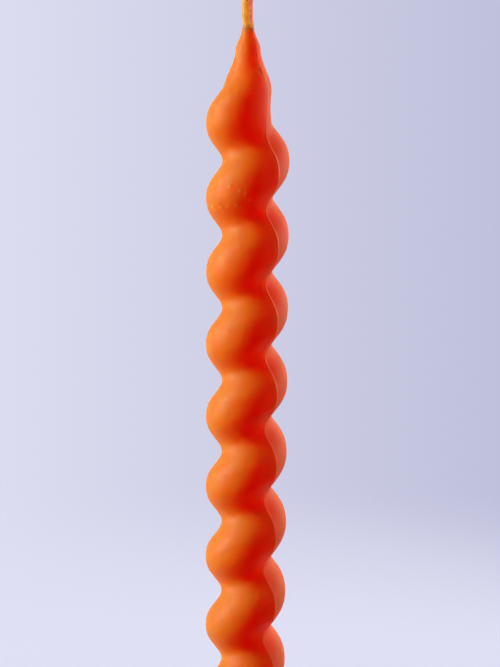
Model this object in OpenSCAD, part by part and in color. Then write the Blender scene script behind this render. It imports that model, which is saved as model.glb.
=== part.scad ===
// Twisted taper candle: a wax column with one corkscrew coil, cast round a plaited cotton wick.
// Millimetres, +Z up. The origin is the centre of the flat foot that stands in a candle holder.

/* [Wax column] */
// Height of the wax, from the foot to the top of the nose
wax_h = 250; // [120:1:400]
// Diameter over the crest of the coil
crest_d = 22; // [19.5:0.1:30]
// Diameter halfway between the crest and the groove
flank_d = 19; // [15:0.1:21.5]
// Diameter at the bottom of the groove
groove_d = 13; // [9:0.1:18]
// Height that the coil climbs in one turn
coil_pitch = 19.9; // [12:0.1:40]
// Height from the top of the nose down to the coil's last full crest, which faces -X
last_crest_drop = 24.8; // [20:0.1:60]
// Angle past its last full crest at which the coil starts to die away
fade_start = 30; // [0:1:100]
// Angle past its last full crest at which the coil is gone
fade_end = 165; // [120:1:360]

/* [Foot] */
// Diameter of the plain foot that fits a candle holder
foot_d = 22; // [18:0.1:30]
// Height of the foot
foot_h = 22; // [8:0.5:60]
// Chamfer round the bottom edge of the foot
foot_chamfer = 0.8; // [0.2:0.1:4]
// Step in from the foot to the coil that rises from it
foot_step = 0.2; // [0.1:0.05:1]
// Height above the foot over which the groove grows to its full depth
groove_growth_h = 18; // [5:0.5:60]

/* [Nose] */
// Wall of wax left round the wick at the very top of the nose
nose_rim = 0.15; // [0.1:0.05:1]
// Diameter of the small shoulder under the top of the nose
shoulder_d = 6.6; // [4.5:0.1:9]
// Height from the top of the nose down to that shoulder
shoulder_drop = 5.6; // [2:0.1:12]
// Height from the top of the nose down to where it starts to flare
flare_start_drop = 5.4; // [2:0.1:12]
// Height from the top of the nose down to where it is as wide as the groove
flare_end_drop = 17; // [13:0.1:30]

/* [Wick] */
// Diameter of each of the three cotton strands
strand_d = 0.62; // [0.3:0.01:1]
// Clearance between two strands where they cross
strand_gap = 0.06; // [0.04:0.01:0.3]
// Length of wick in which a strand crosses to the other edge and comes back
plait_period = 8.4; // [6:0.1:20]
// Length of wick that stands out of the nose
wick_free_h = 18; // [6:0.5:60]
// Depth of the trimmed end of the wick inside the foot
wick_recess = 0.5; // [0.2:0.1:4]

/* [Wax coat on the wick] */
// Wall of the wax skin that the wick was dipped in
coat_wall = 0.14; // [0.08:0.01:0.6]
// Clearance between the strands and the skin
coat_gap = 0.05; // [0.03:0.01:0.3]
// Length of bare cotton that stands out of the skin
bare_end_h = 3; // [1:0.1:5]
// Clearance between the skin and the wax that was cast round it
cast_gap = 0.03; // [0.02:0.01:0.2]

/* [Hidden] */
STRANDS = 3;

wax_colour = [0.91, 0.42, 0.10];
coat_colour = [0.93, 0.50, 0.22];
cotton_colour = [0.93, 0.87, 0.78];

// Fineness of the round and of the faceted surfaces
$fn = 96;
column_sides = 32;
rings_per_turn = 12;
nose_ring_step = 1;
strand_sides = 6;
rings_per_plait = 6;

// Section of the column, as a mean radius with a first and a second wave round it
crest_r = crest_d / 2;
flank_r = flank_d / 2;
groove_r = groove_d / 2;
section_mean = (crest_r + 2 * flank_r + groove_r) / 4;
section_wave = (crest_r - groove_r) / 2;
section_squash = (crest_r - 2 * flank_r + groove_r) / 4;
last_crest_z = wax_h - last_crest_drop;
last_crest_angle = 180;

// Plait: strands spread to each side and pass over each other by these shares of their spacing
strand_r = strand_d / 2;
strand_spacing = strand_d + strand_gap;
side_swing = 1.36 * strand_spacing;
over_swing = 0.86 * strand_spacing;
wick_top = wax_h + wick_free_h;

// Skin, bore and nose, from the plait outwards
coat_inner_r = side_swing + strand_r + coat_gap;
coat_outer_r = coat_inner_r + coat_wall;
coat_top = wick_top - bare_end_h;
bore_r = coat_outer_r + cast_gap;
nose_r = bore_r + nose_rim;
shoulder_r = shoulder_d / 2;

// Foot, and how far the coil is sunk into it where the two are one casting
foot_r = foot_d / 2;
coil_foot_r = foot_r - foot_step;
coil_sunk = 1;
// How far a cutting tool reaches past what it cuts
overrun = 1;

// Smooth step from 0 to 1
function ease(t) = let (c = min(max(t, 0), 1)) c * c * (3 - 2 * c);

// Angle brought between -180 and 180 degrees
function wrap(a) = a - 360 * floor((a + 180) / 360);

// Height of the coil over the groove, at an angle from its crest
function coil_swell(off) =
    section_mean + section_wave * cos(off) + section_squash * cos(2 * off) - groove_r;

// Radius of the column without its coil: the groove's, drawn in by two smooth steps at the nose
function core_r(z) =
    let (drop = wax_h - z)
    nose_r
    + (shoulder_r - nose_r) * ease(drop / shoulder_drop)
    + (groove_r - shoulder_r) * ease((drop - flare_start_drop) / (flare_end_drop - flare_start_drop));

// Direction in which the coil's crest faces at a height
function crest_angle(z) = last_crest_angle + 360 * (z - last_crest_z) / coil_pitch;

// Radius of the column: the coil dies away along its own run at the top, and grows out of the foot
function column_r(angle, z) =
    let (
        off = wrap(angle - crest_angle(z)),
        run = crest_angle(z) + off - last_crest_angle,
        coil_left = 1 - ease((run - fade_start) / (fade_end - fade_start)),
        coiled_r = core_r(z) + coil_left * coil_swell(off)
    )
    coil_foot_r + (coiled_r - coil_foot_r) * ease((z - foot_h) / groove_growth_h);

// Heights of the column's rings: even steps up to the nose, then finer ones
function column_heights() =
    let (
        low = foot_h - coil_sunk,
        nose_z = wax_h - flare_end_drop,
        steps = ceil((nose_z - low) * rings_per_turn / coil_pitch),
        nose_steps = ceil(flare_end_drop / nose_ring_step)
    )
    [
        for (i = [0 : steps - 1]) low + (nose_z - low) * i / steps,
        for (i = [0 : nose_steps]) nose_z + flare_end_drop * i / nose_steps
    ];

function column_ring(z) = [
    for (k = [0 : column_sides - 1])
        let (angle = 360 * k / column_sides, r = column_r(angle, z))
        [r * cos(angle), r * sin(angle), z]
];

// Centre of a strand at a height: a figure of eight, seen from above, drawn up the wick
function strand_centre(k, z) =
    let (turn = 30 + 360 * k / STRANDS + 360 * (z - wick_recess) / plait_period)
    [side_swing * sin(turn), over_swing * sin(2 * turn), z];

// Heights of a strand's rings, with one at each edge and each crossing of the plait
function strand_heights() =
    let (step = plait_period / rings_per_plait)
    [for (z = [wick_recess : step : wick_top - step / 2]) z, wick_top];

function unit(v) = v / norm(v);

// Ring round a strand, square to the way the strand runs
function strand_ring(centre, way) =
    let (side = unit(cross([0, 1, 0], way)), back = cross(way, side))
    [
        for (k = [0 : strand_sides - 1])
            let (angle = 360 * k / strand_sides)
            centre + strand_r * (cos(angle) * side + sin(angle) * back)
    ];

// Rings of a whole strand, with both of its ends cut level
function strand_rings(k) =
    let (
        centres = [for (z = strand_heights()) strand_centre(k, z)],
        last = len(centres) - 1
    )
    [
        for (i = [0 : last])
            strand_ring(
                centres[i],
                i == 0 || i == last ? [0, 0, 1] : unit(centres[i + 1] - centres[i - 1])
            )
    ];

// Closed solid through rings of points, each counted anticlockwise from above
module loft(rings) {
    sides = len(rings[0]);
    last = len(rings) - 1;
    polyhedron(
        points = [for (ring = rings) each ring],
        faces = [
            [for (k = [0 : sides - 1]) k],
            [for (k = [0 : sides - 1]) (last + 1) * sides - 1 - k],
            for (i = [0 : last - 1], k = [0 : sides - 1])
                let (here = i * sides + k, beside = i * sides + (k + 1) % sides)
                each [
                    [here, here + sides, beside + sides],
                    [here, beside + sides, beside]
                ]
        ]
    );
}

module foot() {
    rotate_extrude()
        polygon([
            [0, 0],
            [foot_r - foot_chamfer, 0],
            [foot_r, foot_chamfer],
            [foot_r, foot_h],
            [0, foot_h]
        ]);
}

module wax_body() {
    color(wax_colour)
        difference() {
            union() {
                loft([for (z = column_heights()) column_ring(z)]);
                foot();
            }
            translate([0, 0, -overrun])
                cylinder(r = bore_r, h = wax_h + 2 * overrun);
        }
}

module wick_coat() {
    color(coat_colour)
        difference() {
            translate([0, 0, wick_recess])
                cylinder(r = coat_outer_r, h = coat_top - wick_recess);
            cylinder(r = coat_inner_r, h = coat_top + overrun);
        }
}

module wick_strand(k) {
    color(cotton_colour)
        loft(strand_rings(k));
}

wax_body();
wick_coat();
for (k = [1 : STRANDS])
    wick_strand(k);
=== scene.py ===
"""Twisted taper candle: the look of each piece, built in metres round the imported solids."""

import math

import bmesh
import bpy
import numpy as np
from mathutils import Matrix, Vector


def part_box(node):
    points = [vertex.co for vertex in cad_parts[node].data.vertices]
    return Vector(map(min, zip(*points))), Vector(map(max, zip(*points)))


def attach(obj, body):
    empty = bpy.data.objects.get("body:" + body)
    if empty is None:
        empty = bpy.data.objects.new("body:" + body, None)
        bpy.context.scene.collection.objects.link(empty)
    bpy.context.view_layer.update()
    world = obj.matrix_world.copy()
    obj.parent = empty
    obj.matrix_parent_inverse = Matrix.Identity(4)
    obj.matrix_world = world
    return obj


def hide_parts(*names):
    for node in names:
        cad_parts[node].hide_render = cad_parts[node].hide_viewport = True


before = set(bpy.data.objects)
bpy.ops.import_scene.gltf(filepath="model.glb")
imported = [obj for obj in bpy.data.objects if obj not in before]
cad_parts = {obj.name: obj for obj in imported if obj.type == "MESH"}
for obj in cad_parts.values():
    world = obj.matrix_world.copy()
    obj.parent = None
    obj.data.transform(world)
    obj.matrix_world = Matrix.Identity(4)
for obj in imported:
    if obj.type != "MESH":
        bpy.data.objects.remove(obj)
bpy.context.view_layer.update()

# Camera, where the photograph was taken from.
# It looks a little down on the upper part of the candle, from about half a metre away, with a long lens.
MM = 0.001
camera_aim_x = 0.85 * MM
camera_aim_z = 168.5 * MM
camera_distance = 539.7 * MM
camera_down = math.radians(11.8)
camera_roll = math.radians(0.3)
picture_height_px = 667
focal_length_px = 2000
sensor_height = 36

bpy.ops.object.select_all(action="DESELECT")
bpy.ops.object.camera_add(
    location=(
        camera_aim_x,
        -camera_distance * math.cos(camera_down),
        camera_aim_z + camera_distance * math.sin(camera_down),
    )
)
camera = bpy.context.object
camera.rotation_mode = "ZYX"
camera.rotation_euler = (math.pi / 2 - camera_down, 0, camera_roll)
# Lens and sensor are in millimetres. The picture is taller than it is wide,
# so Blender measures the sensor's width along its height.
camera.data.lens = sensor_height * focal_length_px / picture_height_px
camera.data.sensor_width = sensor_height
bpy.context.scene.camera = camera

# Wax body: one casting of dyed wax from a mould in two halves, poured round the wick.
# A single corkscrew coil winds up it and dies away under a drawn-in nose, and a plain foot fits a holder.
# It is used as it leaves the mould, with a lip along each of the lines where the halves met.
wax_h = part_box("wax_body")[1].z
foot_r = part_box("wax_body")[1].x
foot_h = 22 * MM
foot_chamfer = 0.8 * MM
crest_r = 11.06 * MM
flank_r = 9.56 * MM
groove_r = 6.7 * MM
coil_pitch = 19.9 * MM
last_crest_drop = 24.8 * MM
last_crest_z = wax_h - last_crest_drop
fade_start = math.radians(30)
fade_end = math.radians(165)
groove_growth_h = 18 * MM
bore_r = 1.455 * MM
nose_rim = 0.15 * MM
nose_r = bore_r + nose_rim
shoulder_r = 3.3 * MM
shoulder_drop = 5.6 * MM
flare_start_drop = 5.4 * MM
flare_end_drop = 17 * MM


def ease(t):
    """Smooth step from 0 to 1."""
    t = np.clip(t, 0, 1)
    return t * t * (3 - 2 * t)


def core_radius(z):
    """Radius of the column without its coil: the groove's, drawn in by two steps at the nose."""
    drop = wax_h - z
    shoulder = (shoulder_r - nose_r) * ease(drop / shoulder_drop)
    flare_share = ease((drop - flare_start_drop) / (flare_end_drop - flare_start_drop))
    return nose_r + shoulder + (groove_r - shoulder_r) * flare_share


def column_radius(angle, z):
    """Radius of the wax in a direction and at a height, with the coil faded along its own run."""
    crest_angle = math.pi + 2 * math.pi * (z - last_crest_z) / coil_pitch
    off_crest = (angle - crest_angle + math.pi) % (2 * math.pi) - math.pi
    past_last_crest = crest_angle + off_crest - math.pi
    mean = (crest_r + 2 * flank_r + groove_r) / 4
    wave = (crest_r - groove_r) / 2
    squash = (crest_r - 2 * flank_r + groove_r) / 4
    swell = mean + wave * np.cos(off_crest) + squash * np.cos(2 * off_crest) - groove_r
    coil_left = 1 - ease((past_last_crest - fade_start) / (fade_end - fade_start))
    coiled = core_radius(z) + coil_left * swell
    return foot_r + (coiled - foot_r) * ease((z - foot_h) / groove_growth_h)


def pick(kind, test):
    """Selects those vertices, edges or faces of the piece in edit mode that pass a test."""
    bpy.ops.mesh.select_mode(type=kind)
    bpy.ops.mesh.select_all(action="DESELECT")
    edit = bmesh.from_edit_mesh(bpy.context.object.data)
    parts = {"VERT": edit.verts, "EDGE": edit.edges, "FACE": edit.faces}[kind]
    for part in parts:
        if test(part):
            part.select_set(True)
    edit.select_flush_mode()
    bmesh.update_edit_mesh(bpy.context.object.data)


def is_upright(edge):
    """True for an edge that runs up the piece."""
    low, high = edge.verts
    return abs(high.co.z - low.co.z) > 0.5 * edge.calc_length()


# The mould's two halves part on an upright plane, seen right of the middle from the front.
# The wax swells towards that plane. The left half stands prouder, and ends there in a lip that slopes down.
parting_angle = math.radians(-45)
swell_left_angle = math.radians(17)
swell_right_angle = math.radians(24)
swell_share = 0.042
lip_h = 0.27 * MM
lip_w = 0.8 * MM
lip_fade = 3 * MM
# The lip is uneven all along, and most of it is worn off in the lower half of the candle.
# Lengths of waves, here and in the skin, are for one radian.
lip_low_z = 115 * MM
lip_full_z = 185 * MM
lip_left_low = 0.3
uneven_share = 0.25
uneven_lengths = (3.1 * MM, 4.7 * MM)
# Left of the lip runs a shallow slit, and further left the faint line of an older edge.
slit_depth = 0.1 * MM
slit_left = 0.3 * MM
slit_w = 0.18 * MM
old_line_h = 0.08 * MM
old_line_left = 1.3 * MM
old_line_w = 0.4 * MM
# A knife pared the seam on the nose. It left three nicks in the front line, and below them the slit is torn
# open on the coil. Each is given by its depth under the top of the nose and its length.
pared_drop = 23 * MM
pared_fade = 5 * MM
lip_left_pared = 0.25
swell_left_pared = 0.4
nicks = (
    (3.0 * MM, 1.6 * MM),
    (6.8 * MM, 1.0 * MM),
    (10.8 * MM, 2.6 * MM),
    (29.8 * MM, 8.0 * MM),
)
nick_depth = 0.5 * MM
# The same knife left a flat on the right of the nose.
flat_drop = 20.5 * MM
flat_half_h = 5.5 * MM
flat_half_angle = math.radians(38)
flat_depth = 0.7 * MM


def bump(distance, width):
    """A smooth bump: 1 in the middle, and nearly 0 at twice the width."""
    return np.exp(-((distance / width) ** 2))


def from_parting(angle, line):
    """Angle from one of the two parting lines, positive on the side of the half that stands lower."""
    turn = (angle - line + math.pi) % (2 * math.pi) - math.pi
    return turn if line == parting_angle else -turn


def spared(z, share):
    """How much of the seam the knife spared at a height: a share of it on the nose, and all of it below."""
    return share + (1 - share) * ease((wax_h - z - pared_drop) / pared_fade)


def lip_left(z):
    """Share of the lip that is left at a height, after wear and after the nose was pared."""
    short, long = uneven_lengths
    uneven = 1 - uneven_share + uneven_share * np.sin(z / short) * np.sin(z / long + 1)
    worn = lip_left_low + (1 - lip_left_low) * ease((z - lip_low_z) / (lip_full_z - lip_low_z))
    return uneven * worn * spared(z, lip_left_pared)


def seam_relief(angle, z, radius):
    """How far the wax stands out along both of the lines where the halves of the mould met."""
    width = lip_w * radius / crest_r
    relief = np.zeros_like(z)
    for line in (parting_angle, parting_angle + math.pi):
        turn = from_parting(angle, line)
        across = radius * turn
        half_angle = np.where(turn > 0, swell_right_angle, swell_left_angle)
        swell = swell_share * radius * np.clip(1 - np.abs(turn) / half_angle, 0, 1) ** 2
        lip = lip_h * ease(across / width) * np.exp(-np.clip(across - width, 0, None) / lip_fade)
        slit = slit_depth * bump(across + slit_left, slit_w)
        old_line = old_line_h * bump(across + old_line_left, old_line_w)
        relief += spared(z, swell_left_pared) * swell + lip_left(z) * (old_line - lip - slit)
    front_slit = bump(radius * from_parting(angle, parting_angle) + slit_left, slit_w)
    for drop, length in nicks:
        along = np.clip(1 - (2 * (wax_h - z - drop) / length) ** 2, 0, 1)
        relief -= nick_depth * along * front_slit
    return relief


# The skin has slow waves and finer ripples, because the casting cooled and shrank in its mould.
wave_h = 0.05 * MM
wave_lengths = (9 * MM, 13 * MM)
ripple_h = 0.012 * MM
ripple_lengths = (2.3 * MM, 3.7 * MM)
# Two short creases on the nose: depth under its top, direction in degrees, and half their length in degrees.
creases = ((5.0 * MM, -113, 16), (6.2 * MM, -117, 8))
crease_depth = 0.07 * MM
crease_w = 0.25 * MM


def skin_relief(angle, z):
    """Waves and ripples of the skin, with the knife's flat and the creases of the nose."""
    short, long = wave_lengths
    waves = np.sin(2 * angle + z / short) * np.sin(z / long + angle)
    short, long = ripple_lengths
    ripples = np.sin(5 * angle - z / short) * np.sin(z / long + 3 * angle)
    relief = wave_h * waves + ripple_h * ripples
    relief -= flat_depth * bump(wax_h - z - flat_drop, flat_half_h) * bump(angle, flat_half_angle)
    for drop, middle, half_length in creases:
        along = np.clip(1 - ((np.degrees(angle) - middle) / half_length) ** 2, 0, 1)
        relief -= crease_depth * along * bump(wax_h - z - drop, crease_w)
    return relief


# A plain tube first. Two rounds of cuts give it rows of faces half a millimetre high,
# and those on the nose are halved again.
wax_sides = 108
row_cuts = (24, 19)
fine_nose_h = 18 * MM
bpy.ops.object.select_all(action="DESELECT")
bpy.ops.mesh.primitive_cylinder_add(
    vertices=wax_sides,
    radius=foot_r,
    depth=wax_h - foot_chamfer,
    end_fill_type="NOTHING",
    location=(0, 0, (wax_h + foot_chamfer) / 2),
)
wax = bpy.context.object
wax.name = "wax_casting"
bpy.ops.object.transform_apply(location=True, rotation=True, scale=True)
bpy.ops.object.mode_set(mode="EDIT")
for cuts in row_cuts:
    pick("EDGE", is_upright)
    bpy.ops.mesh.subdivide(number_cuts=cuts)
pick("EDGE", lambda e: is_upright(e) and min(v.co.z for v in e.verts) > wax_h - fine_nose_h)
bpy.ops.mesh.subdivide(number_cuts=1)

# Upright cuts beside the parting plane, in millimetres from it, close enough to carry the lip and the slit.
seam_cuts = (-2.4, -1.5, -0.9, -0.6, -0.4, -0.2, 0.0, 0.2, 0.4, 0.6, 0.8, 1.0, 1.3, 1.8, 2.6)
parting_normal = (-math.sin(parting_angle), math.cos(parting_angle), 0)
for offset in seam_cuts:
    bpy.ops.mesh.select_all(action="SELECT")
    plane = [offset * MM * part for part in parting_normal]
    bpy.ops.mesh.bisect(plane_co=plane, plane_no=parting_normal)
bpy.ops.object.mode_set(mode="OBJECT")

# Each ring is drawn out to the coil, which no row of turned or scaled rings gives where it dies away.
wax_points = np.empty(len(wax.data.vertices) * 3)
wax.data.vertices.foreach_get("co", wax_points)
wax_points = wax_points.reshape(-1, 3)
wax_angle = np.arctan2(wax_points[:, 1], wax_points[:, 0])
wax_z = wax_points[:, 2]
wax_r = column_radius(wax_angle, wax_z)
wax_r += seam_relief(wax_angle, wax_z, wax_r) * ease(wax_z / foot_h)
wax_r += skin_relief(wax_angle, wax_z) * ease((wax_z - foot_h) / groove_growth_h)
wax_points[:, 0] = wax_r * np.cos(wax_angle)
wax_points[:, 1] = wax_r * np.sin(wax_angle)
wax.data.vertices.foreach_set("co", wax_points.ravel())

# The slope of the lip is marked for its smoother finish, with soft borders on both sides.
lip_start_w = 0.2 * MM
lip_end = 1.2 * lip_w
lip_end_w = 0.4 * MM
on_lip = np.zeros_like(wax_r)
for line in (parting_angle, parting_angle + math.pi):
    across = crest_r * from_parting(wax_angle, line)
    on_lip += ease(across / lip_start_w + 0.5) * ease((lip_end - across) / lip_end_w)
on_lip *= lip_left(wax_z)
lip_mask = wax.data.attributes.new("lip", "FLOAT", "POINT")
lip_mask.data.foreach_set("value", on_lip)
wax.data.update()

# Specks: small pale pimples where air sat against the mould, most of them on one bulge near the top.
# Each is given by its direction in degrees and its height in millimetres.
speck_places = (
    (-115, 209.8), (-100, 208.7), (-92, 208.1), (-86, 205.9), (-107, 204.7), (-121, 204.3), (-135, 203.7),
    (-151, 203.6), (-147, 202.6), (-100, 204.2), (-63, 238.9), (-102, 194.0), (-45, 220.6),
)
speck_r = 0.42 * MM
speck_h = 0.22 * MM
speck_reach = 2.5 * speck_r
speck_middles = []
for degrees, level in speck_places:
    angle = math.radians(degrees)
    radius = column_radius(angle, level * MM)
    speck_middles.append((radius * math.cos(angle), radius * math.sin(angle), level * MM))
speck_middles = np.array(speck_middles)


def from_speck(place):
    """Distance from a place to the nearest speck."""
    return np.sqrt(((speck_middles - place) ** 2).sum(axis=1).min())


bpy.ops.object.mode_set(mode="EDIT")
pick("FACE", lambda f: from_speck(f.calc_center_median()) < speck_reach)
bpy.ops.mesh.subdivide(number_cuts=3)
bpy.ops.object.mode_set(mode="OBJECT")
speck_mask = wax.data.attributes.new("speck", "FLOAT", "POINT")
for vertex, mask in zip(wax.data.vertices, speck_mask.data):
    mask.value = bump(from_speck(vertex.co), speck_r)
    outward = vertex.co.xy.normalized() * speck_h * mask.value
    vertex.co.x += outward.x
    vertex.co.y += outward.y

# The foot is trimmed flat with its edge broken.
# Of the wick's hole only a short way in the foot is cut, and the wick covers the closed top of the nose.
hole_depth = 2 * MM
nearly = 0.01 * MM
bpy.ops.object.mode_set(mode="EDIT")
pick("VERT", lambda v: v.co.z < foot_chamfer + nearly)
bpy.ops.mesh.extrude_edges_move(TRANSFORM_OT_translate={"value": (0, 0, -foot_chamfer)})
shrink = (foot_r - foot_chamfer) / foot_r
bpy.ops.transform.resize(value=(shrink, shrink, 1), center_override=(0, 0, 0))
bpy.ops.mesh.extrude_edges_move()
shrink = bore_r / (foot_r - foot_chamfer)
bpy.ops.transform.resize(value=(shrink, shrink, 1), center_override=(0, 0, 0))
bpy.ops.mesh.extrude_edges_move(TRANSFORM_OT_translate={"value": (0, 0, hole_depth)})
bpy.ops.mesh.edge_face_add()
pick("VERT", lambda v: v.co.z > wax_h - nearly)
bpy.ops.mesh.edge_face_add()
bpy.ops.mesh.select_all(action="SELECT")
bpy.ops.mesh.normals_make_consistent(inside=False)
bpy.ops.object.mode_set(mode="OBJECT")
bpy.ops.object.shade_smooth_by_angle(angle=math.radians(50))


def linear(colour):
    """Linear red, green, blue and alpha of an sRGB colour of six hex digits."""
    channels = [int(colour[i : i + 2], 16) / 255 for i in (0, 2, 4)]
    return [c / 12.92 if c <= 0.04045 else ((c + 0.055) / 1.055) ** 2.4 for c in channels] + [1]


def add_node(material, kind, sockets, **settings):
    """Adds a node: a socket's value is either another node's output, which is linked, or a constant."""
    node = material.node_tree.nodes.new(kind)
    for name, setting in settings.items():
        setattr(node, name, setting)
    for socket, value in sockets.items():
        if isinstance(value, bpy.types.NodeSocket):
            material.node_tree.links.new(value, node.inputs[socket])
        else:
            node.inputs[socket].default_value = value
    return node


def new_material(name):
    """A material with an empty node tree."""
    material = bpy.data.materials.new(name)
    material.use_nodes = True
    material.node_tree.nodes.clear()
    return material


# Dyed paraffin as it left the mould: matte, and clear enough that red light runs right through it,
# so the side away from the light glows red where a paint would be dark.
# The clear share falls towards the foot, where too little light comes through to keep the wax red.
# The grain of the skin is drawn coarser than it is, so that it shows.
wax_orange = "FD7D06"
wax_deep = "FD7505"
speck_colour = "FF9034"
mottle_size = 9 * MM
grain_size = 0.7 * MM
grain_depth = 0.012 * MM
smoothest_wax = 0.48
roughest_wax = 0.58
lip_roughness = 0.4
clear_at_foot = 0.4
clear_above = 0.7
clear_from_z = 60 * MM
dyed_wax = new_material("dyed_paraffin_moulded")
wax_place = add_node(dyed_wax, "ShaderNodeTexCoord", {}).outputs["Object"]
mottle = add_node(
    dyed_wax, "ShaderNodeTexNoise", {"Vector": wax_place, "Scale": 1 / mottle_size, "Detail": 3}
).outputs["Fac"]
mottled_orange = add_node(
    dyed_wax,
    "ShaderNodeMixRGB",
    {"Fac": mottle, "Color1": linear(wax_deep), "Color2": linear(wax_orange)},
).outputs["Color"]
on_speck = add_node(dyed_wax, "ShaderNodeAttribute", {}, attribute_name="speck").outputs["Fac"]
wax_colour = add_node(
    dyed_wax,
    "ShaderNodeMixRGB",
    {"Fac": on_speck, "Color1": mottled_orange, "Color2": linear(speck_colour)},
).outputs["Color"]
mottled_roughness = add_node(
    dyed_wax,
    "ShaderNodeMapRange",
    {"Value": mottle, "To Min": smoothest_wax, "To Max": roughest_wax},
).outputs["Result"]
lip_share = add_node(dyed_wax, "ShaderNodeAttribute", {}, attribute_name="lip").outputs["Fac"]
wax_roughness = add_node(
    dyed_wax,
    "ShaderNodeMapRange",
    {"Value": lip_share, "To Min": mottled_roughness, "To Max": lip_roughness},
).outputs["Result"]
grain = add_node(
    dyed_wax, "ShaderNodeTexNoise", {"Vector": wax_place, "Scale": 1 / grain_size, "Detail": 4}
).outputs["Fac"]
grain_normal = add_node(
    dyed_wax, "ShaderNodeBump", {"Height": grain, "Distance": grain_depth, "Strength": 1}
).outputs["Normal"]
above_foot = add_node(dyed_wax, "ShaderNodeSeparateXYZ", {"Vector": wax_place}).outputs["Z"]
clear_share = add_node(
    dyed_wax,
    "ShaderNodeMapRange",
    {"Value": above_foot, "From Max": clear_from_z, "To Min": clear_at_foot, "To Max": clear_above},
    interpolation_type="SMOOTHSTEP",
).outputs["Result"]
wax_shader = add_node(
    dyed_wax,
    "ShaderNodeBsdfPrincipled",
    {
        "Base Color": wax_colour,
        "Roughness": wax_roughness,
        "Normal": grain_normal,
        "IOR": 1.44,
        "Specular IOR Level": 0.3,
        "Subsurface Weight": clear_share,
        "Subsurface Radius": (1000, 0.8, 0.4),
        "Subsurface Scale": 1 * MM,
    },
    subsurface_method="RANDOM_WALK_SKIN",
).outputs["BSDF"]
add_node(dyed_wax, "ShaderNodeOutputMaterial", {"Surface": wax_shader})
wax.data.materials.append(dyed_wax)
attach(wax, "root")
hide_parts("wax_body")

# Wick: three bundles of cotton yarn, plaited flat, that run from the foot to above the nose.
# Each bundle is five yarns twisted round each other. All of them are cut level at the top, where they are
# bare of wax and open out.
strands = (1, 2, 3)
side_swing = 0.925 * MM
over_swing = 0.585 * MM
plait_period = 8.4 * MM
plait_start = math.radians(30)
yarns_per_strand = 5
yarn_r = 0.12 * MM
yarn_lay_r = 0.185 * MM
yarn_twist = 3.6 * MM
yarn_step = 0.4 * MM
wick_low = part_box("wick_strand_1")[0].z
wick_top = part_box("wick_strand_1")[1].z
bare_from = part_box("wick_coat")[1].z
opened_share = 0.9
opened_in = 1.5 * MM
lean = 0.22 * MM
lean_in = 4 * MM


def plait_place(strand, z):
    """Middle of one of the three strands at a height: a figure of eight, drawn up the wick."""
    turn = plait_start + 2 * math.pi * (strand / len(strands) + (z - wick_low) / plait_period)
    return np.array((side_swing * math.sin(turn), over_swing * math.sin(2 * turn), z))


def wick_lean(z):
    """How far the free end of the wick is pushed over to one side at a height."""
    return -lean * ease((z - wax_h) / lean_in)


def fullness(z):
    """How much thicker the cotton is at a height: it opens out where no wax skin holds it."""
    return 1 + opened_share * ease((z - bare_from) / opened_in)


def yarn_place(strand, yarn, z):
    """Middle of one yarn of a strand at a height, as the yarns twist round each other."""
    turn = 2 * math.pi * (yarn / yarns_per_strand + z / yarn_twist)
    lay_r = yarn_lay_r * fullness(z)
    lay = np.array((lay_r * math.cos(turn) + wick_lean(z), lay_r * math.sin(turn), 0))
    return plait_place(strand, z) + lay


def add_cords(name, paths, radius, roundness):
    """One mesh of round cords, each along a path of points."""
    bpy.ops.object.select_all(action="DESELECT")
    line = bpy.data.curves.new(name, "CURVE")
    line.dimensions = "3D"
    line.bevel_depth = radius
    line.bevel_resolution = roundness
    line.use_fill_caps = True
    for path in paths:
        spline = line.splines.new("POLY")
        spline.points.add(len(path) - 1)
        for point, place in zip(spline.points, path):
            point.co = (*place, 1)
            point.radius = fullness(place[2])
    cords = bpy.data.objects.new(name, line)
    bpy.context.collection.objects.link(cords)
    bpy.context.view_layer.objects.active = cords
    cords.select_set(True)
    bpy.ops.object.convert(target="MESH")
    cords = bpy.context.object
    bpy.ops.object.mode_set(mode="EDIT")
    bpy.ops.mesh.select_all(action="SELECT")
    bpy.ops.mesh.remove_doubles(threshold=0.001 * MM)
    bpy.ops.mesh.normals_make_consistent(inside=False)
    bpy.ops.object.mode_set(mode="OBJECT")
    bpy.ops.object.shade_smooth_by_angle(angle=math.radians(50))
    return cords


# Bleached cotton with a little wax soaked into it, so cream. Where the drawn fibres sink, the colour darkens
# as painted shade between them.
# The fibres are drawn coarser than real ones, so that they show.
cotton_cream = "FFF2DC"
cotton_painted_gap_shade = "F4D4A8"
fibre_w = 0.06 * MM
fibre_squeeze = 0.15
nap_depth = 0.02 * MM
cotton = new_material("waxed_cotton_yarn")
cotton_place = add_node(cotton, "ShaderNodeTexCoord", {}).outputs["Object"]
along_yarn = add_node(
    cotton, "ShaderNodeMapping", {"Vector": cotton_place, "Scale": (1, 1, fibre_squeeze)}
).outputs["Vector"]
fibre = add_node(
    cotton, "ShaderNodeTexNoise", {"Vector": along_yarn, "Scale": 1 / fibre_w, "Detail": 2}
).outputs["Fac"]
cotton_colour = add_node(
    cotton,
    "ShaderNodeMixRGB",
    {"Fac": fibre, "Color1": linear(cotton_painted_gap_shade), "Color2": linear(cotton_cream)},
).outputs["Color"]
nap_normal = add_node(cotton, "ShaderNodeBump", {"Height": fibre, "Distance": nap_depth}).outputs["Normal"]
cotton_shader = add_node(
    cotton,
    "ShaderNodeBsdfPrincipled",
    {
        "Base Color": cotton_colour,
        "Normal": nap_normal,
        "Roughness": 0.85,
        "Subsurface Weight": 0.6,
        "Subsurface Radius": (0.35, 0.3, 0.25),
        "Subsurface Scale": 1 * MM,
    },
).outputs["BSDF"]
add_node(cotton, "ShaderNodeOutputMaterial", {"Surface": cotton_shader})

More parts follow.
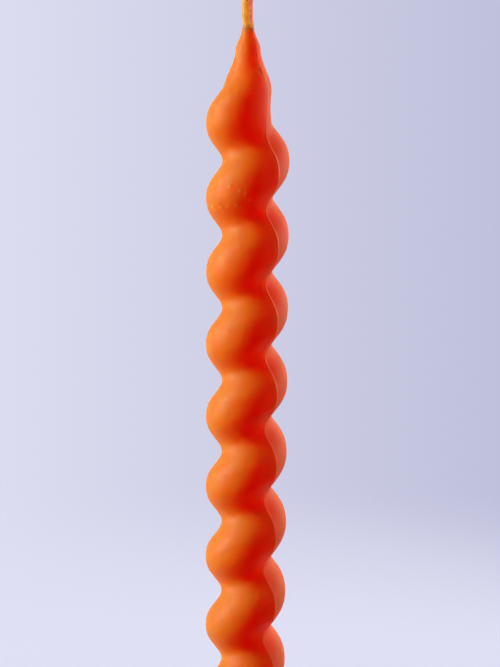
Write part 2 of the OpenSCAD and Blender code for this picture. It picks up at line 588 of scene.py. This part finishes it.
yarn_steps = int((wick_top - wick_low) / yarn_step)
yarn_levels = [wick_low + (wick_top - wick_low) * step / yarn_steps for step in range(yarn_steps + 1)]
for strand in strands:
    paths = [[yarn_place(strand, yarn, z) for z in yarn_levels] for yarn in range(yarns_per_strand)]
    bundle = add_cords(f"cotton_strand_{strand}", paths, yarn_r, roundness=1)
    bundle.data.materials.append(cotton)
    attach(bundle, "root")
    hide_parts(f"wick_strand_{strand}")

# Wax skin of the wick: the plait was dipped in wax before it was threaded into the mould.
# The skin follows the plait in the open, fills the hole in the casting, and runs out on the nose
# in a low fillet.
coat_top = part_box("wick_coat")[1].z
coat_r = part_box("wick_coat")[1].x
# The trimmed cotton stands out of the skin by this much in the foot.
bare_foot_h = 0.3 * MM
coat_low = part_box("wick_coat")[0].z + bare_foot_h
lobe_r = coat_r - side_swing
lobe_steps = 60
filled_half_w = 1.47 * MM
filled_half_t = 1.04 * MM
round_top = wax_h - 3 * MM
fillet_low = wax_h - 0.2 * MM
fillet_top = wax_h + 0.9 * MM
fillet_r = 1.62 * MM
skin_sides = 48
skin_voxel = 0.1 * MM

# Three lobes over the strands, wax between them, a fillet and a plug are melted into one.
lobe_levels = [round_top + (coat_top - round_top) * step / lobe_steps for step in range(lobe_steps + 1)]
lobe_paths = [[plait_place(strand, z) for z in lobe_levels] for strand in strands]
wick_skin = add_cords("wick_skin", lobe_paths, lobe_r, roundness=4)
bpy.ops.object.select_all(action="DESELECT")
bpy.ops.mesh.primitive_cylinder_add(
    vertices=skin_sides,
    radius=1,
    depth=coat_top - round_top,
    location=(0, 0, (coat_top + round_top) / 2),
)
filling = bpy.context.object
filling.scale = (filled_half_w, filled_half_t, 1)
bpy.ops.mesh.primitive_cone_add(
    vertices=skin_sides,
    radius1=fillet_r,
    radius2=filled_half_w,
    depth=fillet_top - fillet_low,
    location=(0, 0, (fillet_top + fillet_low) / 2),
)
fillet = bpy.context.object
bpy.ops.mesh.primitive_cylinder_add(
    vertices=skin_sides,
    radius=coat_r,
    depth=fillet_low - round_top,
    location=(0, 0, (fillet_low + round_top) / 2),
)
plug = bpy.context.object
for part in (filling, fillet, plug, wick_skin):
    part.select_set(True)
bpy.context.view_layer.objects.active = wick_skin
bpy.ops.object.join()
bpy.ops.object.transform_apply(location=True, rotation=True, scale=True)
melted = wick_skin.modifiers.new("melted", "REMESH")
melted.mode = "VOXEL"
melted.voxel_size = skin_voxel
bpy.ops.object.modifier_apply(modifier="melted")
settled = wick_skin.modifiers.new("settled", "SMOOTH")
settled.factor = 0.5
settled.iterations = 5
bpy.ops.object.modifier_apply(modifier="settled")

# A furrow runs up the front and the back, where two of the strands lie side by side.
# The ridge to the right of the front one is marked for painted light: its paler colour stands in for light
# from the right and behind shining through the thin wick.
furrow_depth = 0.22 * MM
furrow_w = 0.2 * MM
furrow_side = 0.25 * MM
furrow_wander = 0.18 * MM
furrow_growth_h = 1.5 * MM
painted_backlight_start_h = 1 * MM
painted_backlight_growth_h = 2 * MM
painted_backlight_side = 0.1 * MM
painted_backlight_side_w = 0.5 * MM
painted_backlight_front_w = 0.3 * MM
skin_points = np.empty(len(wick_skin.data.vertices) * 3)
wick_skin.data.vertices.foreach_get("co", skin_points)
skin_points = skin_points.reshape(-1, 3)
above_nose = skin_points[:, 2] - wax_h
furrow_middle = furrow_side + furrow_wander * np.sin(2 * math.pi * skin_points[:, 2] / plait_period)
from_furrow = skin_points[:, 0] * -np.sign(skin_points[:, 1]) - furrow_middle
furrow = furrow_depth * ease(above_nose / furrow_growth_h) * bump(from_furrow, furrow_w)
skin_points[:, 1] -= np.sign(skin_points[:, 1]) * furrow
# The painted light on the ridge is kept to the front side of the wick.
painted_backlight_values = ease((above_nose - painted_backlight_start_h) / painted_backlight_growth_h)
painted_backlight_values *= ease((from_furrow - painted_backlight_side) / painted_backlight_side_w)
painted_backlight_values *= ease(-skin_points[:, 1] / painted_backlight_front_w)
skin_points[:, 0] += wick_lean(skin_points[:, 2])
wick_skin.data.vertices.foreach_set("co", skin_points.ravel())
painted_backlight_mask = wick_skin.data.attributes.new("painted_backlight", "FLOAT", "POINT")
painted_backlight_mask.data.foreach_set("value", painted_backlight_values)
wick_skin.data.update()
bpy.ops.object.shade_smooth()

# Inside the casting the skin is round, down to the foot.
bpy.ops.object.select_all(action="DESELECT")
bpy.ops.mesh.primitive_cylinder_add(
    vertices=skin_sides,
    radius=coat_r,
    depth=round_top - coat_low,
    location=(0, 0, (round_top + coat_low) / 2),
)
bpy.ops.object.transform_apply(location=True, rotation=True, scale=True)
bpy.ops.object.shade_smooth_by_angle(angle=math.radians(40))
wick_skin.select_set(True)
bpy.context.view_layer.objects.active = wick_skin
bpy.ops.object.join()

# The same dyed wax, but thin over white cotton, so paler and yellower than the casting.
# By the nose it is redder, partly because the wax is thicker and partly as a painted red glow.
# On the ridge at the front it is painted palest, as painted light shining through from the right and behind.
skin_orange = "FB6A0C"
skin_deep = "F8620A"
skin_thick_and_glow = "F6500A"
painted_backlight_pale = "FDBA7C"
thick_and_glow_up_to = 2 * MM
streak_w = 0.8 * MM
streak_squeeze = 0.3
streak_depth = 0.015 * MM
thin_wax = new_material("dyed_paraffin_on_cotton")
skin_place = add_node(thin_wax, "ShaderNodeTexCoord", {}).outputs["Object"]
along_wick = add_node(
    thin_wax, "ShaderNodeMapping", {"Vector": skin_place, "Scale": (1, 1, streak_squeeze)}
).outputs["Vector"]
streak = add_node(
    thin_wax, "ShaderNodeTexNoise", {"Vector": along_wick, "Scale": 1 / streak_w, "Detail": 3}
).outputs["Fac"]
streaked_orange = add_node(
    thin_wax,
    "ShaderNodeMixRGB",
    {"Fac": streak, "Color1": linear(skin_deep), "Color2": linear(skin_orange)},
).outputs["Color"]
up_wick = add_node(thin_wax, "ShaderNodeSeparateXYZ", {"Vector": skin_place}).outputs["Z"]
# By the nose the colour turns a deeper red, partly for the thicker wax and partly as a painted red glow.
clear_of_nose = add_node(
    thin_wax,
    "ShaderNodeMapRange",
    {"Value": up_wick, "From Min": wax_h, "From Max": wax_h + thick_and_glow_up_to},
).outputs["Result"]
orange_with_painted_nose_glow = add_node(
    thin_wax,
    "ShaderNodeMixRGB",
    {"Fac": clear_of_nose, "Color1": linear(skin_thick_and_glow), "Color2": streaked_orange},
).outputs["Color"]
# Painted light: the front ridge is mixed towards a paler colour, as if light from behind shone through it.
painted_backlight_share = add_node(thin_wax, "ShaderNodeAttribute", {}, attribute_name="painted_backlight").outputs["Fac"]
skin_colour = add_node(
    thin_wax,
    "ShaderNodeMixRGB",
    {"Fac": painted_backlight_share, "Color1": orange_with_painted_nose_glow, "Color2": linear(painted_backlight_pale)},
).outputs["Color"]
streak_normal = add_node(
    thin_wax, "ShaderNodeBump", {"Height": streak, "Distance": streak_depth}
).outputs["Normal"]
skin_shader = add_node(
    thin_wax,
    "ShaderNodeBsdfPrincipled",
    {
        "Base Color": skin_colour,
        "Normal": streak_normal,
        "Roughness": 0.5,
        "IOR": 1.44,
        "Subsurface Weight": 0.85,
        "Subsurface Radius": (130, 1.3, 0.9),
        "Subsurface Scale": 1 * MM,
    },
    subsurface_method="RANDOM_WALK_SKIN",
).outputs["BSDF"]
add_node(thin_wax, "ShaderNodeOutputMaterial", {"Surface": skin_shader})
wick_skin.data.materials.clear()
wick_skin.data.materials.append(thin_wax)
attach(wick_skin, "root")
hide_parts("wick_coat")

# Stage: a round sheet of pale paper whose edge melts into a pale room, with no horizon between them.
# The room is brighter on the left, where its window is.
# Both are pale to the lens and in reflections, and dark to the light that falls on the candle.
room_left = "DEDFF2"
room_right = "BCBDD8"
# Sine of the angle to each side over which the room's shade changes, a little more than the lens takes in.
room_half_w = 0.15
room_light = 0.005
paper_colour = "E4E8FF"
paper_dark = "101010"
paper_r = 450 * MM
paper_full_r = 200 * MM
paper_glow = 0.7


def seen_directly(owner):
    """1 for a ray from the lens, or one that a mirror or a glass sends on, and 0 for light on its way."""
    path = add_node(owner, "ShaderNodeLightPath", {}).outputs
    direct = path["Is Camera Ray"]
    for kind in ("Is Glossy Ray", "Is Transmission Ray"):
        either = add_node(owner, "ShaderNodeMath", {0: direct, 1: path[kind]}, operation="MAXIMUM")
        direct = either.outputs["Value"]
    return direct


paper = new_material("pale_backdrop_paper")
lit = add_node(paper, "ShaderNodeBsdfDiffuse", {"Color": linear(paper_colour)}).outputs["BSDF"]
glow = add_node(paper, "ShaderNodeEmission", {"Color": linear(paper_colour)}).outputs["Emission"]
dark = add_node(paper, "ShaderNodeBsdfDiffuse", {"Color": linear(paper_dark)}).outputs["BSDF"]
clear = add_node(paper, "ShaderNodeBsdfTransparent", {}).outputs["BSDF"]
pale_paper = add_node(
    paper, "ShaderNodeMixShader", {"Fac": paper_glow, 1: lit, 2: glow}
).outputs["Shader"]
shown_paper = add_node(
    paper, "ShaderNodeMixShader", {"Fac": seen_directly(paper), 1: dark, 2: pale_paper}
).outputs["Shader"]
paper_place = add_node(paper, "ShaderNodeTexCoord", {}).outputs["Object"]
from_middle = add_node(paper, "ShaderNodeVectorMath", {0: paper_place}, operation="LENGTH").outputs["Value"]
edge_share = add_node(
    paper,
    "ShaderNodeMapRange",
    {"Value": from_middle, "From Min": paper_full_r, "From Max": paper_r},
    interpolation_type="SMOOTHSTEP",
).outputs["Result"]
faded_paper = add_node(
    paper, "ShaderNodeMixShader", {"Fac": edge_share, 1: shown_paper, 2: clear}
).outputs["Shader"]
add_node(paper, "ShaderNodeOutputMaterial", {"Surface": faded_paper})

bpy.ops.object.select_all(action="DESELECT")
bpy.ops.mesh.primitive_circle_add(vertices=96, radius=paper_r, fill_type="NGON", location=(0, 0, 0))
floor = bpy.context.object
floor.name = "floor_paper"
floor.data.materials.append(paper)

# A dark card lies in front of the candle, stands up behind the lens and is folded over into a roof,
# so that no pale room is mirrored in the shaded front. The lens does not see it, and it casts no shadow.
card_half_w = 420 * MM
card_start = 25 * MM
card_depth = 700 * MM
card_h = 800 * MM
card_lift = 1 * MM
velvet_black = "080808"
velvet = new_material("black_velvet")
pile = add_node(velvet, "ShaderNodeBsdfDiffuse", {"Color": linear(velvet_black)}).outputs["BSDF"]
add_node(velvet, "ShaderNodeOutputMaterial", {"Surface": pile})
bpy.ops.object.select_all(action="DESELECT")
bpy.ops.mesh.primitive_plane_add(size=2, location=(0, 0, 0))
card = bpy.context.object
card.name = "dark_card"
bpy.ops.object.mode_set(mode="EDIT")
bpy.ops.transform.resize(value=(card_half_w, card_depth / 2, 1), center_override=(0, 0, 0))
bpy.ops.transform.translate(value=(0, -card_start - card_depth / 2, card_lift))
pick("EDGE", lambda e: max(v.co.y for v in e.verts) < -card_start - 0.9 * card_depth)
bpy.ops.mesh.extrude_edges_move(TRANSFORM_OT_translate={"value": (0, 0, card_h)})
bpy.ops.mesh.extrude_edges_move(TRANSFORM_OT_translate={"value": (0, card_depth, 0)})
bpy.ops.object.mode_set(mode="OBJECT")
card.data.materials.append(velvet)
card.visible_camera = False
card.visible_shadow = False

room = bpy.data.worlds.new("pale_room")
bpy.context.scene.world = room
room.use_nodes = True
room.node_tree.nodes.clear()
way = add_node(room, "ShaderNodeTexCoord", {}).outputs["Generated"]
sideways = add_node(room, "ShaderNodeSeparateXYZ", {"Vector": way}).outputs["X"]
right_share = add_node(
    room, "ShaderNodeMapRange", {"Value": sideways, "From Min": -room_half_w, "From Max": room_half_w}
).outputs["Result"]
wall = add_node(
    room,
    "ShaderNodeMixRGB",
    {"Fac": right_share, "Color1": linear(room_left), "Color2": linear(room_right)},
).outputs["Color"]
pale = add_node(room, "ShaderNodeBackground", {"Color": wall, "Strength": 1}).outputs["Background"]
dim = add_node(room, "ShaderNodeBackground", {"Color": wall, "Strength": room_light}).outputs["Background"]
shown_room = add_node(
    room, "ShaderNodeMixShader", {"Fac": seen_directly(room), 1: dim, 2: pale}
).outputs["Shader"]
add_node(room, "ShaderNodeOutputWorld", {"Surface": shown_room})

# Light: a tall window on the left, a weaker one behind on the right, and a weak skylight.
# A warm bright wall further behind shines through the wax. It and the skylight are not mirrored in it.
lamp_distance = 1000 * MM


def add_lamp(name, azimuth, elevation, wide, tall, power, colour):
    """A soft lamp that faces the camera's aim. Azimuth 0 is the camera's side, and 90 is the right."""
    azimuth = math.radians(azimuth)
    elevation = math.radians(elevation)
    away = (
        lamp_distance * math.sin(azimuth) * math.cos(elevation),
        -lamp_distance * math.cos(azimuth) * math.cos(elevation),
        lamp_distance * math.sin(elevation) + camera_aim_z,
    )
    bpy.ops.object.light_add(type="AREA", location=away)
    lamp = bpy.context.object
    lamp.name = name
    lamp.rotation_euler = (math.pi / 2 - elevation, 0, azimuth)
    lamp.data.shape = "RECTANGLE"
    lamp.data.size = wide
    lamp.data.size_y = tall
    lamp.data.energy = power
    lamp.data.color = linear(colour)[:3]
    return lamp


add_lamp("window_left", azimuth=-84, elevation=12, wide=0.35, tall=1.0, power=14.6, colour="FFFFFF")
add_lamp("window_right", azimuth=119, elevation=10, wide=0.9, tall=0.7, power=3.8, colour="FFFAF6")
bright_wall = add_lamp(
    "bright_wall", azimuth=150, elevation=10, wide=0.6, tall=0.6, power=9.6, colour="FFDCC8"
)
skylight = add_lamp("skylight", azimuth=-55, elevation=58, wide=0.6, tall=0.6, power=0.5, colour="FFFFFF")
for unmirrored in (bright_wall, skylight):
    unmirrored.visible_glossy = False

bpy.context.scene.view_settings.view_transform = "Standard"
